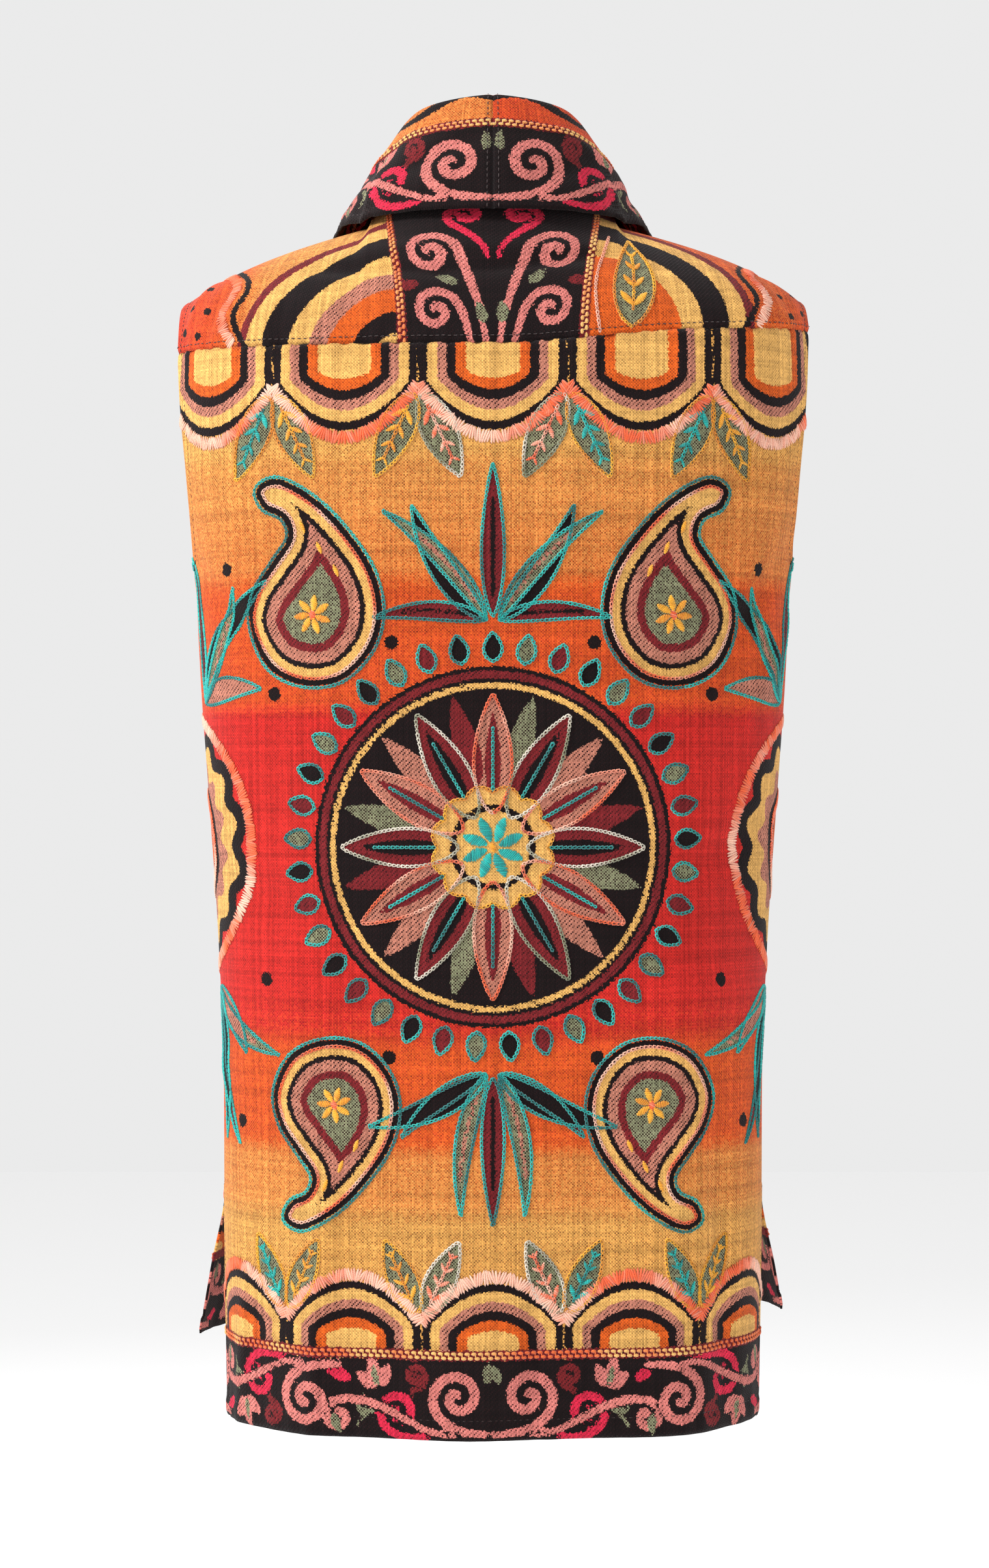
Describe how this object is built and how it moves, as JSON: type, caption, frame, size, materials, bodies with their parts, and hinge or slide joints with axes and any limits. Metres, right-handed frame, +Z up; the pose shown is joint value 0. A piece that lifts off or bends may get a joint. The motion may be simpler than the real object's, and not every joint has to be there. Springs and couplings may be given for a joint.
{
  "type": "embroidered vest",
  "caption": "Hollow open-fronted sleeveless vest with yoke, turned-down shawl collar and side vents, in woven cloth, worn on the shoulders.",
  "frame": {"origin": "middle of the wearer's neck, level with the point where shoulder meets neck", "axes": "+Z up, +Y out of the wearer's back, +X to the wearer's left; the fronts face -Y"},
  "size_m": [0.4128, 0.2522, 0.8546],
  "materials": {
    "back_cloth": "matte woven wool with chain-stitch embroidery",
    "yoke_cloth": "matte woven wool",
    "front_cloth": "matte woven wool with chain-stitch embroidery",
    "collar_cloth": "matte woven wool"
  },
  "bodies": {
    "root": {"back": "back_cloth", "yoke": "yoke_cloth", "front_left": "front_cloth", "front_right": "front_cloth", "collar_left": "collar_cloth", "collar_right": "collar_cloth"}
  },
  "joints": []
}
